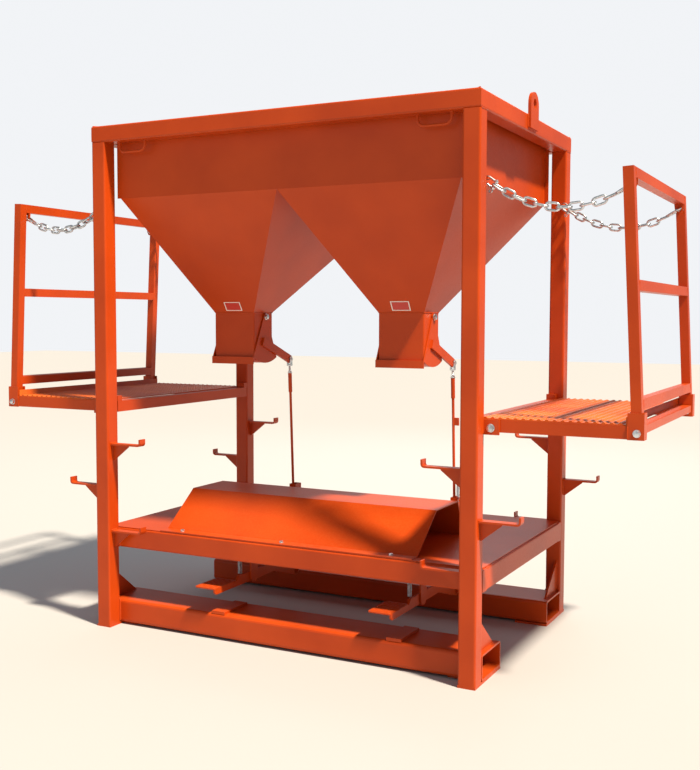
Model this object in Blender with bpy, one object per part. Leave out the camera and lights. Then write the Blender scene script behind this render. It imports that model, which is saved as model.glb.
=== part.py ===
"""Twin-hopper sandbag filler: a fork-liftable steel frame, two hoppers, pedal-worked gates, fold-up platforms."""

import math

import bmesh
import bpy
from mathutils import Matrix, Vector

# Driving sizes of the frame
frame_length = 1.894
frame_depth = 1.269
frame_height = 2.333
gap = 0.0003  # between pieces that touch
post = 0.075
post_wall = 0.005
post_radius = 0.008
foot_thick = 0.010
foot_length = 0.155
foot_back = 0.025  # set back from the fork tube's outer face, inboard of the post

# Fork tubes
fork_width = 0.226
fork_tall = 0.109
fork_wall = 0.008
pad_thick = 0.012

# Deck and the cover over the pedal linkage
deck_top = 0.462
deck_beam_tall = 0.090
deck_beam_wide = 0.050
deck_wall = 0.004
deck_plate = 0.005
deck_margin = 0.008
cover_sheet = 0.004
cover_length = 1.274
cover_top = 0.628
cover_front = 0.006  # flange edge, behind the deck's front
cover_flange = 0.060
cover_slope = 0.206
cover_flat = 0.250

# Hopper and spouts
sheet = 0.004
hopper_clear_x = 0.031  # side wall to the posts' inner face
wall_wing = 0.019  # front and rear walls run past the side walls
hopper_fold = 2.007  # where the upright walls turn into the slopes
lip_reach = 0.040
spout_offset = 0.4364  # spout centre from the middle of the frame
spout_wide = 0.220
spout_deep = 0.166
spout_centre_y = -0.144
spout_top = 1.4815
spout_bottom = 1.2700

# Gates
pivot_y = -0.132
pivot_z = 1.463
gate_gap = 0.0029  # pan to the spout's lower corners
gate_plate = 0.004
gate_side = 0.005
gate_clear = 0.0015
gate_front = math.radians(29.4)
gate_rear = math.radians(27.0)
gate_lip = 0.034
gate_head = 0.0175  # round head about the pivot
gate_bolt = 0.012
lever_thick = 0.010
lever_tall = 0.040
lever_start = (-0.033, -0.118)
lever_pin = (0.217, -0.211)
lever_hole = 0.019

# Rods between pedals and gate levers
rod_pin = 0.010
rod_thick = 0.013
sleeve_thick = 0.019
sleeve_length = 0.095
fork_reach = 0.026
fork_cheek = 0.004
fork_clear = 0.0015
fork_stem = 0.070
peg_up = 0.575  # the spring's peg, up the rod from its lower pin
guide_peg_z = 0.608

# Pedals
pedal_pivot_y = -0.270
pedal_pivot_z = 0.236
pedal_pin = 0.014
arm_thick = 0.010
arm_tall = 0.045
arm_front_y = -0.585
arm_knee_y = -0.075
arm_end = (0.145, 0.170)
pedal_wide = 0.110
pedal_long = 0.180
pedal_plate = 0.005
peg = 0.008
spring_y = -0.335
spring_upper_z = 0.415
spring_wire = 0.0025
spring_radius = 0.0085

# Platforms and guard rails
platform_clear = 0.002
platform_beam = 0.050
platform_wall = 0.004
platform_bottom = 1.014
hinge_out = 0.028  # hinge bolt past the posts' outer face
hinge_z = 1.031
hinge_pin = 0.016
platform_reach = 0.561  # hinge bolt to the beams' outer end
plank_sheet = 0.004
rib_count = 18
rib_tall = 0.005
toe_tall = 0.028
socket_sheet = 0.004
rail_clear = 0.001  # guard rail to its sockets' flanges
socket_lap = 0.008  # channel flanges reach over the beams' ends
socket_top = 1.112
socket_bolt_z = 1.037
rail_tube = 0.040
rail_wall = 0.003
rail_height = 0.978  # above the socket bolt
rail_mid = 0.5445
rail_low = 0.106
rail_lean = math.radians(3)
chain_thick = 0.010
chain_hole = 0.024
chain_sag = 0.095
rail_eye = 0.022  # eye centre below the top rail
rail_eye_in = 0.022  # eye plate's middle in from the stanchion

# Hooks, lugs, loops
hook_reach = 0.172
hook_wide = 0.040
hook_thick = 0.008
hook_tip = 0.034
hook_web = 0.092
hook_web_tall = 0.072
hook_levels = {  # underside, and inward or outward from the post
    "upper": (0.862, -1),
    "middle": (0.662, 1),
    "lower": (0.452, -1),
}
eye_z = 2.000
eye_in = 0.021
eye_back = 0.013
eye_thick = 0.008
loop_rod = 0.012
loop_offset = 0.742
loop_wide = 0.146
loop_drop = 0.046
lug_thick = 0.014
lug_wide = 0.110
lug_foot = 0.014  # above the underside of the top ring
lug_shoulder = 0.117
lug_hole = 0.042

half_l = frame_length / 2
half_d = frame_depth / 2
inner_x = half_l - post
inner_y = half_d - post
fork_top = foot_thick + gap + fork_tall
beam_under = frame_height - post
spout_corner = math.hypot(spout_deep / 2 + abs(spout_centre_y - pivot_y), pivot_z - spout_bottom)
gate_radius = spout_corner + gate_gap
lever_x = spout_wide / 2 + gate_clear + gate_side + lever_thick / 2
hinge_x = half_l + hinge_out
socket_x = hinge_x + platform_reach
socket_back = rail_tube / 2 + 0.007  # outer bolt to the end of the platform's beams
platform_top = platform_bottom + platform_beam
platform_y = inner_y - platform_clear
socket_y = platform_y + 0.0025
rail_y = socket_y - socket_sheet - rail_clear
socket_in = rail_y - rail_tube - rail_clear - socket_sheet
rod_top = (pivot_y + lever_pin[0], pivot_z + lever_pin[1])
rod_length = math.hypot(rod_top[0] - arm_end[0], rod_top[1] - arm_end[1])
rod_tilt = math.atan2(arm_end[0] - rod_top[0], rod_top[1] - arm_end[1])


def clear_scene():
    for thing in list(bpy.data.objects):
        bpy.data.objects.remove(thing, do_unlink=True)
    for group in list(bpy.data.collections):
        bpy.data.collections.remove(group)


def paint(name, colour, rough, metal):
    material = bpy.data.materials.new(name)
    material.use_nodes = True
    shader = material.node_tree.nodes["Principled BSDF"]
    shader.inputs["Base Color"].default_value = (*colour, 1)
    shader.inputs["Roughness"].default_value = rough
    shader.inputs["Metallic"].default_value = metal
    return material


clear_scene()
filler = bpy.data.collections.new("sandbag_filler")
bpy.context.scene.collection.children.link(filler)
red_paint = paint("red_paint", (0.62, 0.09, 0.025), 0.35, 0.0)
zinc = paint("zinc_plate", (0.62, 0.64, 0.66), 0.35, 1.0)

# Where each drawing plane lies: the axes of the outline, then the axis it is pushed along
planes = {
    "XY": Matrix(((1, 0, 0), (0, 1, 0), (0, 0, 1))),
    "YZ": Matrix(((0, 0, 1), (1, 0, 0), (0, 1, 0))),
    "XZ": Matrix(((1, 0, 0), (0, 0, -1), (0, 1, 0))),
}


def take_mesh(thing):
    """The object's evaluated mesh, with doubled points merged and faces turned out."""
    graph = bpy.context.evaluated_depsgraph_get()
    mesh = bpy.data.meshes.new_from_object(thing.evaluated_get(graph))
    solid = bmesh.new()
    solid.from_mesh(mesh)
    bmesh.ops.remove_doubles(solid, verts=solid.verts, dist=0.00002)
    bmesh.ops.recalc_face_normals(solid, faces=solid.faces)
    solid.to_mesh(mesh)
    solid.free()
    return mesh


def as_object(solid, name):
    """Puts a finished bmesh in the scene as an object, its faces turned out."""
    bmesh.ops.recalc_face_normals(solid, faces=solid.faces)
    mesh = bpy.data.meshes.new(name)
    solid.to_mesh(mesh)
    solid.free()
    thing = bpy.data.objects.new(name, mesh)
    filler.objects.link(thing)
    return thing


def swap_for_mesh(thing):
    mesh = take_mesh(thing)
    fresh = bpy.data.objects.new(thing.name + "_mesh", mesh)
    filler.objects.link(fresh)
    bpy.data.objects.remove(thing, do_unlink=True)
    return fresh


def prism(outlines, plane, start, end):
    """Outlines drawn in a plane, the first one cut by the rest, pushed from start to end along its axis."""
    curve = bpy.data.curves.new("outline", "CURVE")
    curve.dimensions = "2D"
    curve.fill_mode = "BOTH"
    curve.extrude = abs(end - start) / 2
    for outline in outlines:
        spline = curve.splines.new("POLY")
        spline.points.add(len(outline) - 1)
        for point, (u, v) in zip(spline.points, outline):
            point.co = (u, v, 0, 1)
        spline.use_cyclic_u = True
    thing = bpy.data.objects.new("outline", curve)
    filler.objects.link(thing)
    fresh = swap_for_mesh(thing)
    middle = (start + end) / 2
    shift = -middle if plane == "XZ" else middle
    fresh.data.transform(planes[plane].to_4x4() @ Matrix.Translation((0, 0, shift)))
    if plane == "XZ":
        fresh.data.flip_normals()
        solid = bmesh.new()
        solid.from_mesh(fresh.data)
        bmesh.ops.recalc_face_normals(solid, faces=solid.faces)
        solid.to_mesh(fresh.data)
        solid.free()
    return fresh


def arc(centre, radius, first, last, steps):
    """Points on an arc, angles in radians."""
    turn = (last - first) / steps
    return [
        (centre[0] + radius * math.cos(first + i * turn), centre[1] + radius * math.sin(first + i * turn))
        for i in range(steps + 1)
    ]


def rounded(centre, wide, tall, radius, steps=3):
    """A rectangle with rounded corners."""
    points = []
    for quarter, (sx, sy) in enumerate(((1, 1), (-1, 1), (-1, -1), (1, -1))):
        corner = (centre[0] + sx * (wide / 2 - radius), centre[1] + sy * (tall / 2 - radius))
        first = quarter * math.pi / 2
        points += arc(corner, radius, first, first + math.pi / 2, steps)
    return points


def rectangle(low_u, low_v, high_u, high_v):
    return [(low_u, low_v), (high_u, low_v), (high_u, high_v), (low_u, high_v)]


def circle(centre, thick, steps=16):
    return arc(centre, thick / 2, 0, 2 * math.pi * (steps - 1) / steps, steps - 1)


def block(low, high):
    """A plain box between two corners."""
    centre = (Vector(low) + Vector(high)) / 2
    size = [abs(high[i] - low[i]) for i in range(3)]
    solid = bmesh.new()
    bmesh.ops.create_cube(solid, size=1)
    bmesh.ops.scale(solid, vec=size, verts=solid.verts)
    bmesh.ops.translate(solid, vec=centre, verts=solid.verts)
    return as_object(solid, "block")


def hollow(plane, centre, wide, tall, wall, radius, start, end):
    """A rectangular tube with open ends."""
    inside = max(radius - wall, 0.001)
    outer = rounded(centre, wide, tall, radius)
    inner = rounded(centre, wide - 2 * wall, tall - 2 * wall, inside, 2)
    return prism([outer, inner], plane, start, end)


def round_bar(plane, centre, thick, start, end, steps=16):
    """A cylinder that stands on a drawing plane and runs from start to end along its axis."""
    solid = bmesh.new()
    radius = thick / 2
    bmesh.ops.create_cone(
        solid,
        cap_ends=True,
        segments=steps,
        radius1=radius,
        radius2=radius,
        depth=abs(end - start),
    )
    middle = (start + end) / 2
    along = -middle if plane == "XZ" else middle
    bmesh.ops.translate(solid, vec=(*centre, along), verts=solid.verts)
    bmesh.ops.transform(solid, matrix=planes[plane].to_4x4(), verts=solid.verts)
    return as_object(solid, "bar")


def boolean(thing, other, how):
    step = thing.modifiers.new(how.lower(), "BOOLEAN")
    step.operation = how
    step.solver = "EXACT"
    step.object = other


def finish(name, pieces, cuts=(), material=None, origin=(0, 0, 0)):
    """Welds the pieces into one solid, cuts it, and leaves it as the named part."""
    base = pieces[0]
    for other in pieces[1:]:
        boolean(base, other, "UNION")
    for other in cuts:
        boolean(base, other, "DIFFERENCE")
    bpy.context.view_layer.update()
    part = base
    if base.modifiers:
        part = swap_for_mesh(base)
    for other in [*pieces[1:], *cuts]:
        bpy.data.objects.remove(other, do_unlink=True)
    part.name = name
    part.data.name = name
    part.data.materials.clear()
    part.data.materials.append(material or red_paint)
    part.data.transform(Matrix.Translation(-Vector(origin)))
    part.location = origin
    part.data.shade_smooth()
    part.data.set_sharp_from_angle(angle=math.radians(32))
    return part


def wire(name, points, thick, material, closed=False, resolution=2):
    curve = bpy.data.curves.new(name, "CURVE")
    curve.dimensions = "3D"
    curve.bevel_depth = thick / 2
    curve.bevel_resolution = resolution
    curve.use_fill_caps = True
    spline = curve.splines.new("POLY")
    spline.points.add(len(points) - 1)
    for point, place in zip(spline.points, points):
        point.co = (*place, 1)
    spline.use_cyclic_u = closed
    thing = bpy.data.objects.new(name, curve)
    filler.objects.link(thing)
    return finish(name, [swap_for_mesh(thing)], material=material)


def hang(name, place, children):
    """Parents the pieces that move together to an empty on their joint's axis."""
    pivot = bpy.data.objects.new(name, None)
    pivot.empty_display_size = 0.05
    pivot.location = place
    filler.objects.link(pivot)
    for child in children:
        part = bpy.data.objects[child]
        part.location = Vector(part.location) - Vector(place)
        part.parent = pivot


def make_hook(name, x_face, y, under, out):
    """A flat hook with a turned-up tip and a gusset below, standing on a post face."""
    over = under + hook_thick
    bend = 0.015
    reach = hook_reach
    profile = [(gap, under), (reach - bend, under)]
    profile += arc((reach - bend, under + bend), bend, -math.pi / 2, 0, 3)[1:]
    profile += [(reach, under + hook_tip), (reach - hook_thick, under + hook_tip)]
    profile += arc((reach - bend, under + bend), bend - hook_thick, 0, -math.pi / 2, 3)
    profile.append((gap, over))
    bar = [(x_face + out * u, v) for u, v in profile]
    corners = ((gap, under + 0.001), (hook_web, under + 0.001), (hook_web, under - 0.006), (0.008, under - hook_web_tall))
    web = [(x_face + out * u, v) for u, v in (*corners, (gap, under - hook_web_tall))]
    pieces = [
        prism([bar], "XZ", y - hook_wide / 2, y + hook_wide / 2),
        prism([web], "XZ", y - 0.003, y + 0.003),
    ]
    finish(name, pieces)


def make_posts():
    for side, sx in (("left", -1), ("right", 1)):
        for row, sy in (("front", -1), ("rear", 1)):
            centre = (sx * (half_l - post / 2), sy * (half_d - post / 2))
            tube = hollow("XY", centre, post, post, post_wall, post_radius, foot_thick - 0.001, beam_under - gap)
            pieces = [tube]
            for level, (under, way) in hook_levels.items():
                face = sx * (half_l if way > 0 else inner_x)
                make_hook(f"hook_{level}_{row}_{side}", face, centre[1], under, sx * way)
            foot_end = half_l - foot_length
            foot_y = inner_y - fork_width - gap
            foot = [(half_l, half_d), (inner_x, half_d), (inner_x, inner_y - foot_back)]
            foot += [(foot_end, inner_y - foot_back), (foot_end, foot_y), (half_l, foot_y)]
            pieces.append(prism([[(sx * x, sy * y) for x, y in foot]], "XY", 0, foot_thick))
            brace_x = sx * (half_l - 0.022)
            brace = [
                (sy * (inner_y + 0.002), fork_top + gap),
                (sy * (inner_y - 0.185), fork_top + gap),
                (sy * (inner_y - 0.175), fork_top + gap + 0.008),
                (sy * (inner_y + 0.002), fork_top + 0.152),
            ]
            pieces.append(prism([brace], "YZ", brace_x - 0.004, brace_x + 0.004))
            stop_low = (sx * inner_x, sy * (inner_y + 0.002), platform_top + gap)
            stop_high = (sx * (inner_x + 0.043), sy * (inner_y - 0.030), platform_top + 0.026)
            pieces.append(block(stop_low, stop_high))
            leaf_low = (sx * (half_l - 0.002), sy * inner_y, hinge_z - 0.027)
            leaf_high = (sx * (hinge_x + 0.035), sy * (inner_y + 0.008), hinge_z + 0.033)
            pieces.append(block(leaf_low, leaf_high))
            spot = (sx * hinge_x, hinge_z)
            span = sorted((sy * (inner_y + 0.006), sy * (platform_y - platform_beam - 0.008)))
            pieces.append(round_bar("XZ", spot, hinge_pin, *span))
            span = sorted((sy * (inner_y + 0.007), sy * (inner_y + 0.016)))
            pieces.append(round_bar("XZ", spot, 0.026, *span, steps=6))
            around = chain_hole / 2 + 0.006
            eye_x = sx * (half_l - eye_back)
            eye = [
                (eye_x - around, sy * (inner_y + 0.002)),
                (eye_x - around, sy * (inner_y - eye_in)),
                (eye_x - around / 2, sy * (inner_y - eye_in - around)),
                (eye_x + around / 2, sy * (inner_y - eye_in - around)),
                (eye_x + around, sy * (inner_y - eye_in)),
                (eye_x + around, sy * (inner_y + 0.002)),
            ]
            eye_hole = circle((eye_x, sy * (inner_y - eye_in)), chain_hole, 12)
            pieces.append(prism([eye, eye_hole], "XY", eye_z - eye_thick / 2, eye_z + eye_thick / 2))
            finish(f"post_{row}_{side}", pieces)


def make_fork_tubes():
    for row, sy in (("front", -1), ("rear", 1)):
        centre = (sy * (inner_y - gap - fork_width / 2), foot_thick + gap + fork_tall / 2)
        pieces = [hollow("YZ", centre, fork_width, fork_tall, fork_wall, 0.014, -half_l, half_l)]
        if sy < 0:
            for sx in (-1, 1):
                arm_x = sx * spout_offset + lever_x
                low = (arm_x - 0.034, -inner_y + 0.004, fork_top - 0.001)
                high = (arm_x + 0.034, -inner_y + 0.194, fork_top + pad_thick)
                pieces.append(block(low, high))
        finish(f"fork_tube_{row}", pieces)


def make_top_ring():
    middle = frame_height - post / 2
    for row, sy in (("front", -1), ("rear", 1)):
        centre = (sy * (half_d - post / 2), middle)
        beam = hollow("YZ", centre, post, post, post_wall, post_radius, -half_l, half_l)
        for vert in beam.data.vertices:
            cut = half_d - abs(vert.co.y) + gap
            vert.co.x -= math.copysign(cut, vert.co.x)
        finish(f"top_beam_{row}", [beam])
    for side, sx in (("left", -1), ("right", 1)):
        centre = (sx * (half_l - post / 2), middle)
        beam = hollow("XZ", centre, post, post, post_wall, post_radius, -half_d, half_d)
        for vert in beam.data.vertices:
            cut = half_l - abs(vert.co.x) + gap
            vert.co.y -= math.copysign(cut, vert.co.y)
        finish(f"top_beam_{side}", [beam])


def make_deck():
    middle = deck_top - deck_beam_tall / 2
    reach = inner_y - gap
    for row, sy in (("front", -1), ("rear", 1)):
        centre = (sy * (reach - deck_beam_wide / 2), middle)
        shell = rounded(centre, deck_beam_wide, deck_beam_tall, 0.006)
        beam = prism([shell], "YZ", -half_l, half_l)
        bore = rounded(centre, deck_beam_wide - 2 * deck_wall, deck_beam_tall - 2 * deck_wall, 0.003, 2)
        inside = prism([bore], "YZ", -half_l + deck_wall, half_l - deck_wall)
        drain = round_bar("XY", (0, centre[0]), 0.012, deck_top - deck_beam_tall - 0.01, middle)
        finish(f"deck_beam_{row}", [beam], [inside, drain])
    for side, sx in (("left", -1), ("right", 1)):
        centre = (sx * (half_l - deck_beam_wide / 2), middle)
        end = reach - deck_beam_wide - gap
        beam = hollow("XZ", centre, deck_beam_wide, deck_beam_tall, deck_wall, 0.006, -end, end)
        finish(f"deck_beam_{side}", [beam])
    edge_x = half_l - deck_margin
    edge_y = reach - deck_margin
    outlines = [rounded((0, 0), 2 * edge_x, 2 * edge_y, 0.010)]
    for sx in (-1, 1):
        outlines.append(rectangle(*guide_hole(sx)))
    finish("deck_plate", [prism(outlines, "XY", deck_top + gap, deck_top + gap + deck_plate)])


def guide_hole(sx):
    """The clear way for a rod through the deck: low x, low y, high x, high y."""
    arm_x = sx * spout_offset + lever_x
    return arm_x - 0.011, 0.110, arm_x + 0.019, 0.160


def strip(points, thick):
    """The outline of a bent strip: a path of points with a thickness on its left side."""
    path = [Vector(point) for point in points]
    sides = []
    for i, here in enumerate(path):
        ways = []
        if i > 0:
            ways.append((here - path[i - 1]).normalized())
        if i < len(path) - 1:
            ways.append((path[i + 1] - here).normalized())
        normals = [Vector((-way.y, way.x)) for way in ways]
        mean = sum(normals, Vector((0, 0))).normalized()
        sides.append(here + mean * (thick / mean.dot(normals[0])))
    return [tuple(point) for point in path] + [tuple(point) for point in reversed(sides)]


def make_cover():
    floor = deck_top + 2 * gap + deck_plate
    front = -inner_y + cover_front
    path = [
        (front, floor),
        (front + cover_flange, floor),
        (front + cover_flange + cover_slope, cover_top),
        (front + cover_flange + cover_slope + cover_flat, cover_top),
        (front + cover_flange + cover_slope + cover_flat + 0.060, floor),
        (front + cover_flange + cover_slope + cover_flat + 0.095, floor),
    ]
    finish("linkage_cover", [prism([strip(path, cover_sheet)], "YZ", -cover_length / 2, cover_length / 2)])


def frustum(top, bottom):
    """A cube drawn out between two level rectangles: (low x, low y, high x, high y, z)."""
    solid = bmesh.new()
    bmesh.ops.create_cube(solid, size=2)
    for vert in solid.verts:
        low_x, low_y, high_x, high_y, level = top if vert.co.z > 0 else bottom
        vert.co.x = high_x if vert.co.x > 0 else low_x
        vert.co.y = high_y if vert.co.y > 0 else low_y
        vert.co.z = level
    return as_object(solid, "frustum")


def make_hopper():
    wall_x = inner_x - hopper_clear_x
    wall_y = inner_y - gap
    rim = frame_height + gap
    lip = (inner_x + lip_reach, inner_y + lip_reach)
    pieces = [block((-wall_x, -wall_y, hopper_fold), (wall_x, wall_y, rim + sheet))]
    cuts = [block((-wall_x + sheet, -wall_y + sheet, hopper_fold - 0.0001), (wall_x - sheet, wall_y - sheet, 3))]
    pieces.append(block((-lip[0], -lip[1], rim), (lip[0], lip[1], rim + sheet)))
    for sy in (-1, 1):
        low = (-wall_x - wall_wing, sy * wall_y, hopper_fold + 0.001)
        high = (wall_x + wall_wing, sy * (wall_y - sheet), rim + 0.001)
        pieces.append(block(low, high))
    for sx in (-1, 1):
        centre = sx * spout_offset
        low_x, high_x = sorted((0, sx * wall_x))
        mouth = (
            centre - spout_wide / 2,
            spout_centre_y - spout_deep / 2,
            centre + spout_wide / 2,
            spout_centre_y + spout_deep / 2,
        )
        pieces.append(frustum((low_x, -wall_y, high_x, wall_y, hopper_fold + 0.0005), (*mouth, spout_top)))
        inner = (low_x + sheet, -wall_y + sheet, high_x - sheet, wall_y - sheet)
        throat = (mouth[0] + sheet, mouth[1] + sheet, mouth[2] - sheet, mouth[3] - sheet)
        cuts.append(frustum((*inner, hopper_fold + 0.001), (*throat, spout_top - 0.0005)))
    finish("hopper", pieces, cuts)


def make_spouts():
    for side, sx in (("left", -1), ("right", 1)):
        centre = sx * spout_offset
        outer = rounded((centre, spout_centre_y), spout_wide, spout_deep, 0.005, 2)
        inner = rounded((centre, spout_centre_y), spout_wide - 2 * sheet, spout_deep - 2 * sheet, 0.002, 2)
        pieces = [prism([outer, inner], "XY", spout_bottom, spout_top - gap)]
        wall = spout_wide / 2 - sheet
        cheek = spout_wide / 2 + gate_clear + gate_side
        for way in (-1, 1):
            shank = sorted((centre + way * (wall - 0.003), centre + way * (cheek + 0.003)))
            head = sorted((centre + way * (cheek + 0.002), centre + way * (cheek + 0.010)))
            pieces.append(round_bar("YZ", (pivot_y, pivot_z), gate_bolt, *shank))
            pieces.append(round_bar("YZ", (pivot_y, pivot_z), 0.021, *head, steps=6))
        finish(f"spout_{side}", pieces)


def gate_point(u, v):
    return pivot_y + u, pivot_z + v


def make_gates():
    down = -math.pi / 2
    spread = (down - gate_front, down + gate_rear)
    outer = gate_radius + gate_plate
    for side, sx in (("left", -1), ("right", 1)):
        centre = sx * spout_offset
        inside = spout_wide / 2 + gate_clear
        outside = inside + gate_side
        pivot = (pivot_y, pivot_z)
        cheek = arc(pivot, outer, spread[0], spread[1], 8)
        cheek += arc(pivot, gate_head, math.radians(-15), math.radians(195), 7)
        bore = circle(pivot, gate_bolt + 0.001)
        pieces = [prism([cheek, bore], "YZ", centre + inside, centre + outside)]
        # the pan sits just inside the outline of the cheeks that carry it
        start, end = spread[0] + 0.004, spread[1] - 0.004
        pan = arc(pivot, outer - 0.0005, start, end, 8) + arc(pivot, gate_radius, end, start, 8)
        pieces.append(prism([pan], "YZ", centre - outside + 0.001, centre + outside - 0.001))
        pieces.append(prism([cheek, bore], "YZ", centre - outside, centre - inside))
        front = pivot_y - outer * math.sin(gate_front)
        drop = pivot_z - outer * math.cos(gate_front)
        low = (centre - outside, front - 0.004, drop - gate_lip + 0.003)
        high = (centre + outside, front + 0.001, drop + 0.003)
        pieces.append(block(low, high))
        start = gate_point(*lever_start)
        end = gate_point(*lever_pin)
        slope = math.atan2(end[1] - start[1], end[0] - start[0])
        half = lever_tall / 2
        bar = [(start[0] - half * math.sin(slope), start[1] + half * math.cos(slope))]
        bar.append((start[0] + half * math.sin(slope), start[1] - half * math.cos(slope)))
        bar += arc(end, half, slope - math.pi / 2, slope + math.pi / 2, 8)
        slot = circle(end, lever_hole)
        low_x = centre + outside - 0.0005
        pieces.append(prism([bar, slot], "YZ", low_x, centre + outside + lever_thick))
        finish(f"gate_{side}", pieces, origin=(centre, pivot_y, pivot_z))


def tilted(part, turn):
    """Turns a finished part about X through its origin, leaving its object unrotated."""
    part.data.transform(Matrix.Rotation(turn, 4, "X"))


def clevis(half, reach, way):
    """A fork about a cross pin at the origin, its bridge and stem standing off along Z."""
    pieces = [block((-half - fork_cheek, -0.010, way * reach), (half + fork_cheek, 0.010, way * (reach + 0.008)))]
    for sx in (-1, 1):
        low = (sx * half, -0.010, -way * 0.012)
        high = (sx * (half + fork_cheek), 0.010, way * (reach + 0.004))
        pieces.append(block(low, high))
        cap = sorted((sx * (half + fork_cheek - 0.0005), sx * (half + fork_cheek + 0.006)))
        pieces.append(round_bar("YZ", (0, 0), 0.016, *cap, steps=6))
    pieces.append(round_bar("YZ", (0, 0), rod_pin, -half - fork_cheek - 0.003, half + fork_cheek + 0.003, steps=12))
    return pieces


def make_rods():
    high = rod_length - fork_stem - gap
    for side, sx in (("left", -1), ("right", 1)):
        x = sx * spout_offset + lever_x
        upper = clevis(lever_thick / 2 + fork_clear, fork_reach, -1)
        upper.append(round_bar("XY", (0, 0), rod_pin, -fork_stem, -fork_reach - 0.006, steps=12))
        fork = finish(f"rod_fork_{side}", upper, material=zinc)
        tilted(fork, rod_tilt)
        fork.location = (x, *rod_top)
        pieces = clevis(arm_thick / 2 + fork_clear, fork_reach + 0.004, 1)
        pieces.append(round_bar("XY", (0, 0), rod_thick, fork_reach + 0.010, high - sleeve_length + 0.002, steps=12))
        pieces.append(round_bar("XY", (0, 0), sleeve_thick, high - sleeve_length, high, steps=16))
        if sx > 0:
            pieces.append(block((0.003, -0.004, 0.792), (0.028, 0.004, 0.828)))
            pieces.append(round_bar("YZ", (0, peg_up), peg, 0.003, 0.030, steps=10))
        rod = finish(f"rod_{side}", pieces)
        tilted(rod, rod_tilt)
        rod.location = (x, *arm_end)


def make_guides():
    for side, sx in (("left", -1), ("right", 1)):
        low_x, low_y, high_x, high_y = guide_hole(sx)
        wall = 0.003
        outer = rectangle(low_x - wall, low_y - wall, high_x + wall, high_y + wall)
        inner = rectangle(low_x, low_y, high_x, high_y)
        floor = deck_top + 2 * gap + deck_plate
        pieces = [prism([outer, inner], "XY", floor, 0.620)]
        if sx > 0:
            spot = (rod_spring_y(), guide_peg_z)
            pieces.append(round_bar("YZ", spot, peg, high_x + 0.001, high_x + wall + 0.016, steps=10))
        finish(f"rod_guide_{side}", pieces)


def rod_spring_y():
    return arm_end[0] - math.sin(rod_tilt) * peg_up


def make_pedals():
    for side, sx in (("left", -1), ("right", 1)):
        x = sx * spout_offset + lever_x
        half = arm_tall / 2
        knee = (arm_knee_y, pedal_pivot_z)
        slope = math.atan2(arm_end[1] - knee[1], arm_end[0] - knee[0])
        shift = half * math.tan(slope / 2)
        low = pedal_pivot_z - half
        shelf = pedal_pivot_z + 0.001
        heel = arm_front_y + pedal_long - 0.005
        bar = [(arm_front_y + 0.010, low), (knee[0] + shift, low)]
        bar += arc(arm_end, half, slope - math.pi / 2, slope + math.pi / 2, 8)
        bar += [(knee[0] - shift, pedal_pivot_z + half), (heel + 0.020, pedal_pivot_z + half)]
        bar += [(heel, shelf), (arm_front_y, shelf), (arm_front_y, low + 0.010)]
        holes = [circle((pedal_pivot_y, pedal_pivot_z), pedal_pin + 0.001), circle(arm_end, rod_pin + 0.001)]
        pieces = [prism([bar, *holes], "YZ", x - arm_thick / 2, x + arm_thick / 2)]
        centre = (x + arm_thick / 2 - pedal_wide / 2, arm_front_y - 0.004 + pedal_long / 2)
        tread = rounded(centre, pedal_wide, pedal_long, 0.012)
        pieces.append(prism([tread], "XY", shelf - 0.0005, shelf + pedal_plate))
        spot = (spring_y, pedal_pivot_z)
        pieces.append(round_bar("YZ", spot, peg, x - 0.034, x, steps=10))
        finish(f"pedal_{side}", pieces, origin=(x, pedal_pivot_y, pedal_pivot_z))


def make_brackets():
    for side, sx in (("left", -1), ("right", 1)):
        x = sx * spout_offset + lever_x
        near = x + arm_thick / 2 + fork_clear
        top = deck_top
        front = spring_y - 0.022
        leaf = [(pedal_pivot_y - 0.030, top), (front, top), (front, spring_upper_z - 0.016)]
        leaf += [(pedal_pivot_y - 0.030, spring_upper_z - 0.016), (pedal_pivot_y - 0.030, pedal_pivot_z)]
        leaf += arc((pedal_pivot_y, pedal_pivot_z), 0.030, math.pi, 2 * math.pi, 8)[1:]
        leaf.append((pedal_pivot_y + 0.030, top))
        pieces = [prism([leaf], "YZ", near, near + 0.008)]
        pin = (pedal_pivot_y, pedal_pivot_z)
        pieces.append(round_bar("YZ", pin, pedal_pin, x - arm_thick / 2 - 0.006, near + 0.004))
        pieces.append(round_bar("YZ", (spring_y, spring_upper_z), peg, x - 0.034, near + 0.004, steps=10))
        base_low = (near - 0.012, front - 0.004, top - 0.006)
        base_high = (near + 0.030, pedal_pivot_y + 0.036, top)
        pieces.append(block(base_low, base_high))
        finish(f"pedal_bracket_{side}", pieces)


def spring_path(x, y, low, high, turns):
    """A coil with a wire eye round a peg at each end, from the lower peg to the upper one."""
    eye = peg / 2 + spring_wire / 2 + 0.0012
    lead = 0.012
    points = []
    for u, v in arc((0, 0), eye, math.radians(-220), math.radians(80), 10):
        points.append((x, y + u, low + v))
    foot = low + eye + lead
    head = high - eye - lead
    count = turns * 6
    for i in range(count + 1):
        turn = 2 * math.pi * i / 6
        level = foot + (head - foot) * i / count
        points.append((x + spring_radius * math.sin(turn), y + spring_radius * math.cos(turn), level))
    for u, v in arc((0, 0), eye, math.radians(-80), math.radians(220), 10):
        points.append((x, y + u, high + v))
    return points


def make_springs():
    for side, sx in (("left", -1), ("right", 1)):
        x = sx * spout_offset + lever_x - 0.025
        path = spring_path(x, spring_y, pedal_pivot_z, spring_upper_z, 16)
        wire(f"pedal_spring_{side}", path, spring_wire, zinc, resolution=0)
    x = spout_offset + lever_x + 0.024
    high = arm_end[1] + peg_up * math.cos(rod_tilt)
    path = spring_path(x, rod_spring_y(), guide_peg_z, high, 11)
    wire("rod_spring_right", path, spring_wire, zinc, resolution=0)


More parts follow.
